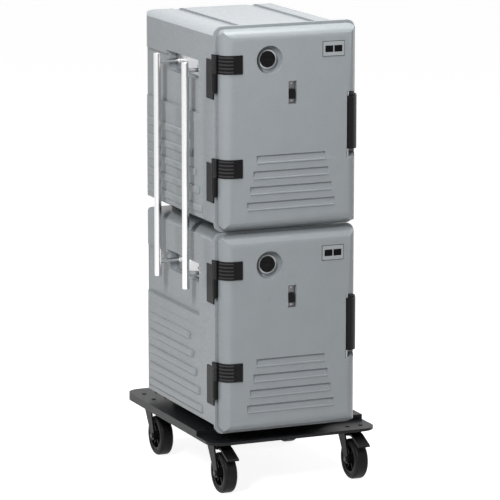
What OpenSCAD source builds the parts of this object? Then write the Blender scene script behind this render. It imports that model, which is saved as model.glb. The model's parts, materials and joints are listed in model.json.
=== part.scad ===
// Enclosed meal tray cart: two insulated tray carriers with hinged doors,
// stacked on a four-caster dolly and tied together by a push handle.
// Millimetres, +Z up, +X to the user's right, door towards -Y.
// The origin is on the floor, at the middle of the whole cart's footprint.

/* [Carrier] */
// Width of a carrier across its side walls
box_w = 457; // [420:1:500]
// Depth of a carrier behind its door
box_d = 588; // [520:1:640]
// Height of a carrier's shell between its flat top and bottom
box_h = 596; // [560:1:660]
// Height of the skid rails under a carrier
skid_h = 30; // [26:1:40]
// Width of a skid rail
skid_w = 29; // [22:1:40]
// Distance of each skid rail from the middle of the carrier
skid_x = 125; // [100:1:140]
// Depth of the two grooves in a carrier's top
groove_h = 6; // [4:0.5:8]
// Clearance between a skid rail and each side of its groove
skid_gap = 1; // [0.5:0.1:2]
// Radius of the shoulders along the shell's edges
shoulder_r = 70; // [60:1:80]
// Width of a shoulder from the flat top to the side wall
shoulder_w = 46; // [40:1:52]
// Radius of the upright corners at the back
back_r = 57; // [45:1:60]

/* [Flange] */
// Thickness of the flange around the door opening
flange_t = 10; // [8:1:14]
// How far the flange stands above and below the shell
flange_lip = 11; // [8:0.5:11.5]
// Radius of the flange's corners
flange_r = 24; // [18:1:30]

/* [Interior] */
// Width of the interior
inner_w = 338; // [330:1:345]
// Depth of the interior
inner_d = 535; // [480:1:540]
// Height of the interior
inner_h = 505; // [470:1:510]
// Radius of the interior's corners
inner_r = 16; // [10:1:24]
// Height from one tray ledge to the next
ledge_pitch = 63.5; // [60:0.5:66]
// How far a tray ledge stands out of the side wall
ledge_w = 14; // [10:1:16]
// Thickness of a tray ledge
ledge_t = 12; // [8:1:16]
// Number of tray ledges on each side
ledge_count = 7; // [4:1:7]
// Thickness of the moulded skin around the foam
skin_t = 4; // [3:0.5:5]
// Gap between the flange and the first end of a tray ledge
ledge_y = 4; // [3:1:8]
// Distance of the gasket from the opening's edge
gasket_in = 6; // [4:0.5:8]
// Depth of the gasket's groove in the flange
gasket_groove = 3; // [2:0.5:4]
// Wall above and below the foam of a carrier
foam_cap = 18; // [15:1:20]
// Room in the foam on each side of a carry pocket
foam_pocket_gap = 12; // [8:1:20]

/* [Side relief] */
// Depth of the side panel behind the smooth front frame
panel_depth = 11.5; // [8:0.5:12]
// Front end of the side panel, from the door's face
panel_y = 170; // [165:1:180]
// Lower edge of the side panel, above the skid rail's foot
panel_z0 = 360; // [350:1:370]
// Upper edge of the side panel, under the shell's flat top
panel_drop = 115; // [110:1:126]
// Depth of the ribbed field under the side panel
rib_depth = 2.5; // [1.5:0.5:4]
// Height of one rib
rib_h = 22; // [18:1:26]
// Height from one rib to the next
rib_pitch = 52.7; // [48:0.1:54]
// Top edge of the lowest rib, above the skid rail's foot
rib_z0 = 84; // [80:1:90]
// Front end of the lowest rib, from the door's face
rib_y0 = 148; // [144:1:152]
// How much further back each higher rib starts
rib_step = 25.5; // [20:0.5:28]
// Number of ribs on each side
rib_count = 5; // [3:1:5]
// Front end of the ribbed field, from the door's face
field_y = 140; // [130:1:144]

/* [Carry pockets] */
// Middle of a carry pocket, under the shell's flat top
pocket_drop = 136; // [126:1:146]
// Height of a carry pocket
pocket_h = 64; // [56:1:70]
// Length of a carry pocket
pocket_l = 257; // [240:1:260]
// Middle of a carry pocket, from the door's face
pocket_y = 300; // [295:1:305]
// Depth of a carry pocket
pocket_d = 37; // [30:1:42]

/* [Door] */
// Thickness of a door
door_t = 44; // [40:1:50]
// Border of the flange that shows around a door
door_inset = 8; // [6:0.5:10]
// Gap between a closed door and the flange
door_gap = 3; // [2:0.5:5]
// Radius of a door's front edges
door_edge_r = 35; // [28:1:36]
// Radius of a door's corners
door_corner_r = 22; // [18:1:28]
// Depth of the plug on a door's inner face
plug_t = 8; // [5:1:10]
// Clearance between the plug and the interior
plug_gap = 9; // [7:1:12]
// Thickness of the foam in a door
door_foam_t = 24; // [18:1:26]
// Width of the gasket around the opening
gasket_w = 12; // [8:1:14]
// Clearance between the closed door and the gasket
gasket_gap = 0.3; // [0.2:0.1:0.6]

/* [Louvres] */
// Number of louvres
louvre_count = 4; // [2:1:4]
// Height of a louvre
louvre_h = 25; // [20:1:30]
// Height from one louvre to the next
louvre_pitch = 46.7; // [42:0.1:48]
// Top edge of the lowest louvre, above the skid rail's foot
louvre_z0 = 110; // [104:1:112]
// Length of the top louvre
louvre_l = 224; // [200:1:240]
// How much longer each lower louvre is
louvre_grow = 20.6; // [10:0.1:24]
// Depth of a louvre at its top edge
louvre_depth = 7; // [4:0.5:8]

/* [Vent] */
// Place of the vent, from the door's middle
vent_x = -70; // [-80:1:-60]
// Middle of the vent, under the shell's flat top
vent_drop = 90; // [81:1:101]
// Diameter of the vent's pocket
vent_pocket_d = 85; // [76:1:90]
// Depth of the vent's pocket
vent_depth = 26; // [22:1:28]
// Outer diameter of the vent's ring
vent_ring_d = 57.5; // [54:0.5:64]
// Diameter of the vent's knob
vent_knob_d = 48.5; // [44:0.5:50]
// Depth of the knob's front behind the door's face
vent_knob_y = 14; // [10:1:16]
// Diameter of the knob's stem
vent_stem_d = 12; // [8:1:16]

/* [Menu clip] */
// Left edge of the clip's recess, from the door's middle
recess_x = -9; // [-14:1:-4]
// Width of the clip's recess
recess_w = 27.5; // [24:0.5:32]
// Lower edge of the clip's recess, under the shell's flat top
recess_drop = 226; // [216:1:236]
// Height of the clip's recess
recess_h = 69; // [60:1:76]
// Depth of the clip's recess
recess_d = 12; // [10:1:14]
// Width of the clip
clip_w = 19; // [14:1:22]
// Height of the clip
clip_h = 29; // [24:1:34]
// Lower edge of the clip, above the recess's lower edge
clip_z = 15; // [12:1:18]
// Thickness of the clip
clip_t = 4; // [3:0.5:4.5]
// Depth of the clip's front behind the door's face
clip_front = 2; // [1.5:0.5:2.5]
// Diameter of the clip's pivot
clip_pivot_d = 3; // [2:0.5:4]
// Thickness of the steel plate behind the clip
clip_plate_t = 1.2; // [0.8:0.1:2]
// Thickness of an ear beside the clip
ear_t = 1.6; // [1:0.1:2]
// Height of an ear beside the clip
ear_h = 6; // [5:0.5:8]

/* [Label plate] */
// Left edge of the label plate, from the door's middle
label_x = 103.2; // [95:0.1:110]
// Width of the label plate
label_w = 69.5; // [60:0.5:74]
// Lower edge of the label plate, under the shell's flat top
label_drop = 88.3; // [81:0.1:96]
// Height of the label plate
label_h = 43.3; // [36:0.1:48]
// Thickness of the label plate
label_t = 1.5; // [1:0.1:2]
// Width of a window in the label plate
window_w = 24.5; // [18:0.5:26]
// Height of a window in the label plate
window_h = 16; // [10:0.5:20]
// Distance of a window from the plate's end
window_in = 7; // [4:0.5:8]
// Depth of a window
window_depth = 0.6; // [0.3:0.1:0.8]

/* [Hinges] */
// Middle of the upper hinge, under the shell's flat top
hinge_drop = 99.5; // [94:0.5:106]
// Height of the lower hinge's middle, above the skid rail's foot
hinge_z0 = 214.5; // [208:0.5:220]
// Distance of the hinge axis outside the side wall
hinge_out = 1; // [0.5:0.1:2]
// Distance of the hinge axis behind the door's face
hinge_y = 40; // [39:0.1:40.4]
// Outer diameter of a hinge barrel
barrel_d = 13; // [11:0.5:13]
// Diameter of a hinge pin
hinge_pin_d = 7; // [5:0.5:8]
// Height of a door leaf
leaf_h = 56; // [48:1:60]
// Thickness of a door leaf
leaf_t = 3; // [2:0.5:3]
// Right-hand edge of a door leaf, from the side wall
leaf_x = 70; // [62:1:78]
// Length of the barrel under a door leaf
lower_barrel_h = 58; // [50:1:64]
// Thickness of a body leaf
body_leaf_t = 4; // [3:0.5:4]
// Back edge of a body leaf, from the door's face
body_leaf_y = 102; // [95:1:110]
// Depth of a body leaf under the hinge's middle
body_leaf_low = 107; // [95:1:110]
// Height of a body leaf above the hinge's middle
body_leaf_high = 10.5; // [8:0.5:14]
// Distance of a leaf's screws from the side wall
screw_x = 46; // [40:1:54]
// Distance of a leaf's screws above and below the hinge's middle
screw_z = 13; // [10:1:18]
// Diameter of a leaf screw
screw_d = 4; // [3:0.5:5]
// Length of a leaf screw in the door
screw_l = 12; // [8:1:16]
// Radial clearance of a turning pin
pin_gap = 0.05; // [0.02:0.01:0.1]
// Gap between two pieces that turn against each other
turn_gap = 0.4; // [0.3:0.1:0.8]

/* [Latch] */
// Middle of the latch lever, above the shell's middle
latch_rise = 4.5; // [-8:0.5:14]
// Height of the latch lever
latch_h = 160; // [140:1:170]
// Left edge of the latch notch, inwards from the side wall
notch_in = 46; // [40:1:50]
// Room above the lever in its notch
notch_over = 15.5; // [12:0.5:20]
// Room under the lever in its notch
notch_under = 27.5; // [20:0.5:30]
// Depth of the latch notch
notch_d = 34; // [28:1:36]
// Radius of the lever's eye, and twice the thickness of its leg
lever_t = 6; // [5:0.5:6]
// How far the lever's plate stands out of the door's round edge
lever_over = 6; // [5.5:0.5:7]
// Thickness of the lever's plate
lever_plate_t = 4.5; // [3.5:0.5:5]
// How far the lever stands outside the side wall
lever_out = 6.5; // [6:0.5:8]
// Distance of the latch pin behind the door's face
latch_pin_y = 9; // [8:0.5:12]
// Diameter of the latch pin
latch_pin_d = 6; // [4:0.5:7]
// Back end of the latch lever, from the door's face
lever_y = 70; // [64:1:76]
// Length of the latch pin in the door at each end
latch_pin_hold = 8; // [5:1:12]
// Thickness of the keeper's base
keeper_t = 1.5; // [1:0.1:2]
// Height of the ramp on the keeper
keeper_ramp = 1.7; // [1:0.1:2]
// Distance of the keeper's ends from the lever's ends
keeper_in = 20; // [14:1:30]

/* [Handle] */
// Diameter of the two upright bars
bar_d = 22; // [18:1:25]
// Distance of the bars' axes outside the side wall
bar_out = 36; // [30:1:45]
// Distance between the two bars
bar_pitch = 225; // [210:1:230]
// Length of a bar above the upper standoffs
bar_over = 27; // [20:1:40]
// Length of a bar under the lower standoffs
bar_under = 46; // [30:1:60]
// Diameter of a standoff at its middle
standoff_d = 13; // [10:1:16]
// Diameter of a standoff's flared foot
standoff_foot_d = 24; // [18:1:26]
// Thickness of a mounting plate
plate_t = 2; // [1.5:0.5:3]
// Gap between a mounting plate and the pocket around it
plate_gap = 4; // [2:0.5:6]
// Distance of the mounting plate's screw holes from its middle
plate_hole_y = 40; // [30:1:60]
// Diameter of the mounting plate's screw holes
plate_hole_d = 8; // [6:0.5:10]

/* [Dolly] */
// Width of the deck
deck_w = 556; // [520:1:600]
// Length of the deck
deck_l = 716; // [690:1:760]
// Thickness of the deck
deck_t = 24; // [20:1:28]
// How far the deck's middle lies to the right of the carriers
deck_shift_x = 27.5; // [10:0.5:30]
// Front edge of the deck, behind the doors' faces
deck_y = 24; // [10:1:30]
// Radius of the deck's corners
deck_r = 48; // [30:1:50]
// Length of the lowered strip at the deck's front
step_l = 118; // [100:1:120]
// Depth of the lowered strip
step_h = 15; // [8:1:16]
// Distance from the lowered strip to the front of a skid rail
skid_back = 14; // [10:1:30]
// Depth of the slots that hold the lower skid rails
slot_d = 10; // [6:1:12]

/* [Casters] */
// Height of a caster
caster_h = 156; // [152:1:165]
// Diameter of a wheel
wheel_d = 125; // [110:1:128]
// Width of a tyre
tyre_w = 41; // [34:1:42]
// Diameter of the hub inside the tyre
hub_d = 92; // [84:1:96]
// Offset of the wheel's axle from the swivel's axis
trail = 44; // [40:1:48]
// Distance between the left and right swivels
caster_pitch_x = 436; // [420:1:440]
// Distance between the front and back swivels
caster_pitch_y = 515; // [505:1:520]
// Front swivel's axis behind the deck's front edge
caster_in_y = 88; // [80:1:95]
// Diameter of an axle
axle_d = 10; // [8:1:12]
// Length of an axle's head
axle_head_h = 5; // [3:0.5:6]
// Diameter of the boss around the axle in a hub
boss_d = 30; // [24:1:36]
// Thickness of a hub's rim
rim_t = 7; // [5:0.5:10]
// Thickness of a hub's web
hub_web = 8; // [6:1:12]
// Rounding of a tyre's shoulders
tread_r = 6; // [4:1:9]
// Diameter of a kingpin
kingpin_d = 14; // [12:1:16]
// Thickness of a caster's mounting plate
caster_plate_t = 4; // [3:0.5:5]
// Bolt spacing across a mounting plate
plate_bolt_x = 44; // [40:1:64]
// Bolt spacing along a mounting plate
plate_bolt_y = 80; // [80:1:84]
// Diameter of the bolts
bolt_d = 8; // [6:1:10]
// Height of a bolt's nut
nut_h = 5; // [4:0.5:6]
// Height of a bolt's head
bolt_head_h = 2; // [1.5:0.5:4]
// Thickness of a fork's leg
leg_t = 5; // [4:0.5:6]
// Clearance between a tyre and a fork's leg
wheel_gap = 3; // [2.5:0.5:4]
// Width of a brake pedal
pedal_w = 38; // [30:1:42]

/* [Hidden] */
$fn = 48;
eps = 0.01;
far = 2000;

// Half widths, and heights above a skid rail's foot
hw = box_w / 2;
body_z0 = skid_h;
body_z1 = skid_h + box_h;
flange_z0 = body_z0 - flange_lip;
flange_z1 = body_z1 + flange_lip;
flange_h = flange_z1 - flange_z0;
flange_y = door_t + door_gap;
back_y = flange_y + box_d;
inner_z0 = (body_z0 + body_z1 - inner_h) / 2;
inner_z1 = inner_z0 + inner_h;
inner_back = flange_y + inner_d;
pocket_z = body_z1 - pocket_drop;
panel_z1 = body_z1 - panel_drop;
vent_z = body_z1 - vent_drop;
recess_z = body_z1 - recess_drop;
label_z = body_z1 - label_drop;
hinge_z1 = body_z1 - hinge_drop;
latch_z = (body_z0 + body_z1 - latch_h) / 2 + latch_rise;
door_hw = hw - door_inset;
door_z0 = flange_z0 + door_inset;
door_h = flange_h - 2 * door_inset;
pocket_front = pocket_y - pocket_l / 2;
skid_y = deck_y + step_l + skid_back;

// Levels and places in the whole cart
deck_top = caster_h + deck_t;
lower_z = deck_top - slot_d;
stack_pitch = body_z1 - groove_h;
upper_z = lower_z + stack_pitch;
left_reach = hw + bar_out + bar_d / 2;
right_reach = deck_shift_x + deck_w / 2;
box_x = (left_reach - right_reach) / 2;
deck_x = box_x + deck_shift_x;
side_x = box_x - hw;
bar_x = side_x - bar_out;
standoff_x = bar_x + bar_d / 4;
plate_x = side_x + pocket_d - plate_t;
pedal_reach = wheel_d / 2 + 10;
pedal_tip = deck_y + caster_in_y - trail - pedal_reach;
front_y = -(pedal_tip + deck_y + deck_l) / 2;
deck_y0 = front_y + deck_y;
standoff_z0 = lower_z + pocket_z;
standoff_z1 = upper_z + pocket_z;
bar_mid_y = front_y + pocket_y;

// Latch
lever_x0 = hw - notch_in + turn_gap;
lever_x1 = hw + lever_out;
latch_pin_x = lever_x0 + lever_t;
lever_neck = 8.4;

// Menu clip and label plate
clip_mid_x = recess_x + recess_w / 2 - 1;
clip_pivot_y = 7.5;
clip_pivot_z = recess_z + clip_z + clip_h - 4;
clip_eye_d = clip_pivot_d + 3;
clip_side_gap = 0.8;
clip_plate_gap = 0.5;
window_z = label_z + (label_h - window_h) / 2 + 0.35;

// Foam
foam_front = 3;
foam_back = 30;
foam_corner = 8;
door_foam_in = 42;

// Hinges
bead_w = 9;
bead_t = 2;
pin_end = 4;
waist = 1;
leaf_arm = 5;

// Casters
wheel_r = wheel_d / 2;
leg_x = tyre_w / 2 + wheel_gap;
plate_rim = 12;
crown_h = 9;
head_h = 6;
crown_z1 = caster_h - caster_plate_t - turn_gap;
crown_z0 = crown_z1 - crown_h;
head_z0 = crown_z0 - turn_gap - head_h;
fork_front = -30;
fork_back = 26;
web_t = 4;

// Brake pedal
pedal_z = crown_z0 - 6;
pedal_pin_y = -38;
pedal_pin_z = pedal_z + 3.5;
pedal_pin_d = 5;
pedal_arm_y = -62;
cheek_y = 10;
caster_y0 = deck_y0 + caster_in_y;
casters = [for (iy = [0, 1], ix = [-1, 1])
  [deck_x + ix * caster_pitch_x / 2, caster_y0 + iy * caster_pitch_y]];

// A rectangle with round corners, centred on x and standing on y = 0
module round_rect(w, h, r) {
  translate([-w / 2 + r, 0]) square([w - 2 * r, h]);
  translate([-w / 2, r]) square([w, h - 2 * r]);
  for (x = [-1, 1], y = [r, h - r]) translate([x * (w / 2 - r), y]) circle(r);
}

// A profile in X and Z pushed back along Y from y0 to y1
module along_y(y0, y1) {
  translate([0, y1, 0]) rotate([90, 0, 0]) linear_extrude(y1 - y0) children();
}

// A profile drawn with Y to the right and Z up, pushed along X from x0 to x1
module along_x(x0, x1) {
  translate([x0, 0, 0]) rotate([90, 0, 90]) linear_extrude(x1 - x0) children();
}

// A round bar along X
module rod_x(d, x0, x1) {
  translate([x0, 0, 0]) rotate([0, 90, 0]) cylinder(d = d, h = x1 - x0);
}

// A round bar along Y
module rod_y(d, y0, y1) {
  translate([0, y0, 0]) rotate([-90, 0, 0]) cylinder(d = d, h = y1 - y0);
}

// A cuboid between two corners
module block(a, b) {
  translate(a) cube(b - a);
}

// Both sides of a carrier
module both_sides() {
  children();
  mirror([1, 0, 0]) children();
}

module lower() { translate([box_x, front_y, lower_z]) children(); }
module upper() { translate([box_x, front_y, upper_z]) children(); }

// The outer form of a carrier's shell, with round shoulders and back corners
module shell_form() {
  wide = box_w - 2 * shoulder_w + 2 * shoulder_r;
  deep = back_y + shoulder_r - shoulder_w;
  intersection() {
    along_y(flange_y + 1, back_y + 10) translate([0, body_z0]) round_rect(wide, box_h, shoulder_r);
    along_x(-wide / 2, wide / 2) translate([0, body_z0]) round_rect(2 * deep, box_h, shoulder_r);
    linear_extrude(far) {
      translate([-hw, 0]) square([box_w, back_y - back_r]);
      translate([-hw + back_r, 0]) square([box_w - 2 * back_r, back_y]);
      for (x = [-1, 1]) translate([x * (hw - back_r), back_y - back_r]) circle(back_r);
    }
  }
}

// What is cut out of one side wall: the panel, the ribbed field and the carry pocket
module side_cuts() {
  block([hw - panel_depth, panel_y, panel_z0], [hw + 1, far, panel_z1]);
  difference() {
    block([hw - rib_depth, field_y, rib_z0 - 2 * rib_h],
          [hw + 1, far, rib_z0 + rib_count * rib_pitch - rib_h + 4]);
    for (i = [0 : rib_count - 1])
      block([0, rib_y0 + i * rib_step, rib_z0 + i * rib_pitch - rib_h], [far, far, rib_z0 + i * rib_pitch]);
  }
  block([hw - pocket_d, pocket_front, pocket_z - pocket_h / 2],
        [hw + 1, pocket_front + pocket_l, pocket_z + pocket_h / 2]);
}

// The tray ledges on one side
module ledges() {
  for (i = [1 : ledge_count])
    block([inner_w / 2 - ledge_w, flange_y + flange_t + ledge_y, inner_z0 + i * ledge_pitch - ledge_t],
          [inner_w / 2 + eps, inner_back + eps, inner_z0 + i * ledge_pitch]);
}

// The room for the foam inside a carrier's walls
module body_foam_form() {
  side = hw - panel_depth - skin_t;
  corner = back_r - foam_corner;
  front = flange_y + flange_t + foam_front;
  low = body_z0 + foam_cap;
  high = body_z1 - foam_cap;
  margin = pocket_h / 2 + skin_t * 2;
  difference() {
    union() {
      block([-side, front, low], [side, back_y - foam_back, high]);
      block([-hw + corner, front, low], [hw - corner, back_y - skin_t, high]);
    }
    block([-inner_w / 2 - skin_t, 0, inner_z0 - skin_t],
          [inner_w / 2 + skin_t, inner_back + skin_t, inner_z1 + skin_t]);
    both_sides() block([hw - pocket_d - skin_t, pocket_front - foam_pocket_gap, pocket_z - margin],
                       [far, pocket_front + pocket_l + foam_pocket_gap, pocket_z + margin]);
  }
}

// The outline of the opening, grown all round
module opening_plan(grow) {
  translate([0, inner_z0 - grow]) round_rect(inner_w + 2 * grow, inner_h + 2 * grow, inner_r + grow);
}

// The outline of the gasket
module gasket_ring() {
  difference() {
    opening_plan(gasket_in + gasket_w);
    opening_plan(gasket_in);
  }
}

module body_shell() {
  color("slategray") difference() {
    union() {
      difference() {
        shell_form();
        both_sides() side_cuts();
      }
      along_y(flange_y, flange_y + flange_t) translate([0, flange_z0]) round_rect(box_w, flange_h, flange_r);
      both_sides() block([skid_x - skid_w / 2, skid_y, 0],
                         [skid_x + skid_w / 2, back_y - back_r / 2, body_z0 + 1]);
    }
    both_sides() block([skid_x - skid_w / 2 - skid_gap, flange_y + flange_t, body_z1 - groove_h],
                       [skid_x + skid_w / 2 + skid_gap, far, far]);
    difference() {
      along_y(flange_y - 1, inner_back) translate([0, inner_z0]) round_rect(inner_w, inner_h, inner_r);
      both_sides() ledges();
    }
    along_y(flange_y - 1, flange_y + gasket_groove) gasket_ring();
    body_foam_form();
  }
}

module body_foam() { color("khaki") body_foam_form(); }

module gasket() {
  color("dimgray") along_y(door_t + gasket_gap, flange_y + gasket_groove) gasket_ring();
}

// Places of a carrier's two hinge axes
module at_hinges() {
  for (z = [hinge_z0, hinge_z1]) translate([-hw - hinge_out, hinge_y, z]) children();
}

// The screws through the door leaves
module at_leaf_screws() {
  for (c = [hinge_z0, hinge_z1], z = [c - screw_z, c + screw_z]) translate([-hw + screw_x, 0, z]) children();
}

// The leaves on the side wall, each with a bead at its front edge and the lower barrel
module hinge_body_leaves() {
  top = -leaf_h / 2 - turn_gap;
  leaf_y = flange_y + 2;
  bead_y = leaf_y + bead_w;
  outer = -hw - body_leaf_t;
  color([0.12, 0.12, 0.13]) {
    for (c = [hinge_z0, hinge_z1]) {
      block([outer, leaf_y, c - body_leaf_low], [-hw, body_leaf_y, c + body_leaf_high]);
      block([outer - bead_t, leaf_y, c + top - lower_barrel_h + bead_t], [outer, bead_y, c + leaf_h / 2]);
      block([outer, leaf_y, c + body_leaf_high - bead_t], [-hw, bead_y, c + leaf_h / 2]);
    }
    at_hinges() difference() {
      union() {
        translate([0, 0, top - lower_barrel_h]) cylinder(d = barrel_d, h = lower_barrel_h);
        block([hinge_out - body_leaf_t, 0, top - lower_barrel_h],
              [hinge_out, leaf_y + 1 - hinge_y, top]);
      }
      translate([0, 0, top - lower_barrel_h + pin_end]) cylinder(d = hinge_pin_d, h = lower_barrel_h);
    }
  }
}

module hinge_pins() {
  low = -leaf_h / 2 - turn_gap - lower_barrel_h + pin_end;
  high = leaf_h / 2 - pin_end;
  color("silver") at_hinges() translate([0, 0, low]) cylinder(d = hinge_pin_d, h = high - low);
}

// The bent leaf seen from above: face, round edge, side and the arm to the barrel
module door_leaf_plan() {
  cx = -door_hw + door_edge_r;
  seat = 0.1;
  translate([cx, -leaf_t]) square([-hw + leaf_x - cx, leaf_t]);
  translate([-door_hw - leaf_t, door_edge_r]) square([leaf_t, hinge_y - leaf_t + leaf_arm - door_edge_r]);
  translate([-hw - hinge_out, hinge_y - leaf_t]) square([hinge_out + door_inset, leaf_arm]);
  translate([cx, door_edge_r]) intersection() {
    difference() {
      circle(door_edge_r + leaf_t);
      circle(door_edge_r + seat);
    }
    translate([-far, -far]) square(far);
  }
}

module hinge_door_leaves() {
  color([0.12, 0.12, 0.13]) difference() {
    union() {
      at_hinges() translate([0, 0, -leaf_h / 2]) {
        for (z = [0, leaf_h / 2 + waist]) translate([0, 0, z]) cylinder(d = barrel_d, h = leaf_h / 2 - waist);
        cylinder(d = barrel_d - 2 * waist, h = leaf_h);
      }
      for (c = [hinge_z0, hinge_z1])
        translate([0, 0, c - leaf_h / 2]) linear_extrude(leaf_h) door_leaf_plan();
    }
    at_hinges() translate([0, 0, -leaf_h])
      cylinder(r = hinge_pin_d / 2 + pin_gap, h = 1.5 * leaf_h - pin_end + turn_gap);
    at_leaf_screws() rod_y(screw_d, -far, far);
  }
}

// The outer form of a door: round front edges and round corners
module door_form() {
  intersection() {
    along_y(0, door_t) translate([0, door_z0]) round_rect(2 * door_hw, door_h, door_corner_r);
    linear_extrude(far) round_rect(2 * door_hw, 2 * door_t, door_edge_r);
    along_x(-hw, hw) intersection() {
      translate([0, door_z0]) square([door_t, door_h]);
      translate([door_t, door_z0]) round_rect(2 * door_t, door_h, door_edge_r);
    }
  }
}

// The room for the foam inside a door, around the vent's pocket
module door_foam_form() {
  difference() {
    block([-door_hw + door_foam_in, door_t - skin_t - door_foam_t, door_z0 + door_foam_in],
          [door_hw - door_foam_in, door_t - skin_t, door_z0 + door_h - door_foam_in]);
    block([vent_x - vent_pocket_d / 2 - skin_t, -1, vent_z - vent_pocket_d / 2 - skin_t],
          [vent_x + vent_pocket_d / 2 + skin_t, far, vent_z + vent_pocket_d / 2 + skin_t]);
  }
}

// One louvre: a wedge that is deep at its top edge and runs out at its bottom
module louvre_cut(i) {
  len = louvre_l + (louvre_count - 1 - i) * louvre_grow;
  top = louvre_z0 + i * louvre_pitch;
  along_x(-len / 2, len / 2) polygon([[-1, top + 1], [louvre_depth, top - 3], [-1, top - louvre_h]]);
}

// The finger notch around the latch lever: its floor and its roof slope up and down to its back
module latch_notch() {
  low = latch_z - notch_under;
  high = latch_z + latch_h + notch_over;
  along_x(hw - notch_in, hw) polygon([
    [-1, low], [0, low], [notch_d, low + notch_under / 2], [notch_d, high - notch_over / 2],
    [0, high], [-1, high]]);
}

module door_shell() {
  color("slategray") difference() {
    union() {
      door_form();
      along_y(door_t - eps, door_t + plug_t) translate([0, inner_z0 + plug_gap])
        round_rect(inner_w - 2 * plug_gap, inner_h - 2 * plug_gap, inner_r);
    }
    door_foam_form();
    for (i = [0 : louvre_count - 1]) louvre_cut(i);
    translate([vent_x, 0, vent_z]) {
      rod_y(vent_pocket_d, -1, vent_depth);
      rod_y(vent_stem_d + 2 * pin_gap, 0, door_t + plug_t + 1);
    }
    block([recess_x, -1, recess_z], [recess_x + recess_w, recess_d, recess_z + recess_h]);
    latch_notch();
    latch_pin_form();
    at_leaf_screws() rod_y(screw_d, -1, screw_l);
  }
}

module door_foam() { color("khaki") door_foam_form(); }

module vent_ring() {
  color("silver") translate([vent_x, 0, vent_z]) difference() {
    rod_y(vent_ring_d, vent_knob_y + 3, vent_depth);
    rod_y(vent_knob_d + 1, -1, far);
  }
}

// A round knob with a grip bar between two hollows, and its stem
module vent_knob() {
  color([0.1, 0.1, 0.1]) translate([vent_x, 0, vent_z]) {
    difference() {
      rod_y(vent_knob_d, vent_knob_y, vent_depth - turn_gap);
      difference() {
        rod_y(vent_knob_d - 10, vent_knob_y - 1, vent_knob_y + 5);
        block([-far, 0, -5], [far, far, 5]);
      }
    }
    rod_y(vent_stem_d, vent_depth - 1, door_t + plug_t);
  }
}

module rod_at_clip(d, x0, x1) {
  translate([0, clip_pivot_y, clip_pivot_z]) rod_x(d, x0, x1);
}

// The steel plate in the recess, with two ears and the clip's pivot between them
module clip_plate() {
  face = recess_d - clip_plate_t;
  ear = clip_w / 2 + clip_side_gap;
  color("silver") {
    block([recess_x + clip_plate_gap, face, recess_z + clip_plate_gap],
          [recess_x + recess_w - clip_plate_gap, recess_d, recess_z + recess_h - clip_plate_gap]);
    for (x = [-ear - ear_t, ear])
      block([clip_mid_x + x, clip_pivot_y - ear_h / 2 + 0.5, clip_pivot_z - ear_h / 2],
            [clip_mid_x + x + ear_t, face, clip_pivot_z + ear_h / 2]);
    rod_at_clip(clip_pivot_d, clip_mid_x - ear - eps, clip_mid_x + ear + eps);
  }
}

module menu_clip() {
  x0 = clip_mid_x - clip_w / 2;
  color([0.1, 0.1, 0.1]) difference() {
    union() {
      block([x0, clip_front, recess_z + clip_z],
            [x0 + clip_w, clip_front + clip_t, recess_z + clip_z + clip_h]);
      block([x0, clip_front + clip_t - 1, clip_pivot_z - clip_eye_d / 2],
            [x0 + clip_w, clip_pivot_y, clip_pivot_z + 2]);
      rod_at_clip(clip_eye_d, x0, x0 + clip_w);
    }
    rod_at_clip(clip_pivot_d + 2 * pin_gap, -far, far);
  }
}

module label_plate() {
  color([0.75, 0.76, 0.77]) difference() {
    block([label_x, -label_t, label_z], [label_x + label_w, 0, label_z + label_h]);
    for (x = [window_in, label_w - window_in - window_w])
      block([label_x + x, -far, window_z],
            [label_x + x + window_w, -label_t + window_depth, window_z + window_h]);
  }
}

module door_screws() {
  color([0.08, 0.08, 0.08]) at_leaf_screws() {
    rod_y(2 * screw_d, -leaf_t - 0.3 * screw_d, -leaf_t);
    rod_y(screw_d, -leaf_t - eps, screw_l);
  }
}

// The lever seen from above: its eye, the plate around the door's edge and the leg over the keeper
module lever_plan() {
  cx = door_hw - door_edge_r;
  outer = door_edge_r + lever_over;
  inner = outer - lever_plate_t;
  start = latch_pin_x + lever_neck;
  leg_in = lever_x1 - lever_t / 2;
  translate([latch_pin_x, latch_pin_y]) circle(lever_t);
  polygon([[latch_pin_x + 1, latch_pin_y - lever_t + 0.1], [start, door_edge_r - outer + 2],
           [start + 3, door_edge_r - inner + 2], [latch_pin_x + lever_t - 0.1, latch_pin_y + 1]]);
  translate([cx, door_edge_r]) intersection() {
    difference() {
      circle(outer);
      circle(inner);
    }
    translate([start - cx, -far]) square(far);
  }
  polygon([[cx + inner, door_edge_r - 1], [cx + outer, door_edge_r - 1], [lever_x1, flange_y - 1],
           [lever_x1, lever_y], [leg_in, lever_y], [leg_in, flange_y - 1]]);
}

module latch_lever() {
  color([0.12, 0.12, 0.13]) difference() {
    translate([0, 0, latch_z]) linear_extrude(latch_h) lever_plan();
    translate([latch_pin_x, latch_pin_y, latch_z - 1])
      cylinder(r = latch_pin_d / 2 + pin_gap, h = latch_h + 2);
  }
}

// The latch pin runs into the door above and below the notch
module latch_pin_form() {
  translate([latch_pin_x, latch_pin_y, latch_z - notch_under - latch_pin_hold])
    cylinder(d = latch_pin_d, h = latch_h + notch_under + notch_over + 2 * latch_pin_hold);
}

module latch_pin() { color("silver") latch_pin_form(); }

// The keeper is a ramp on the side wall that the lever's leg snaps over
module latch_keeper() {
  color([0.12, 0.12, 0.13]) {
    block([hw, flange_y + 2, latch_z + keeper_in],
          [hw + keeper_t, lever_y + 24, latch_z + latch_h - keeper_in]);
    block([hw + keeper_t - eps, flange_y + 4, latch_z + keeper_in + 10],
          [hw + keeper_t + keeper_ramp, flange_y + 12, latch_z + latch_h - keeper_in - 10]);
  }
}

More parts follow.
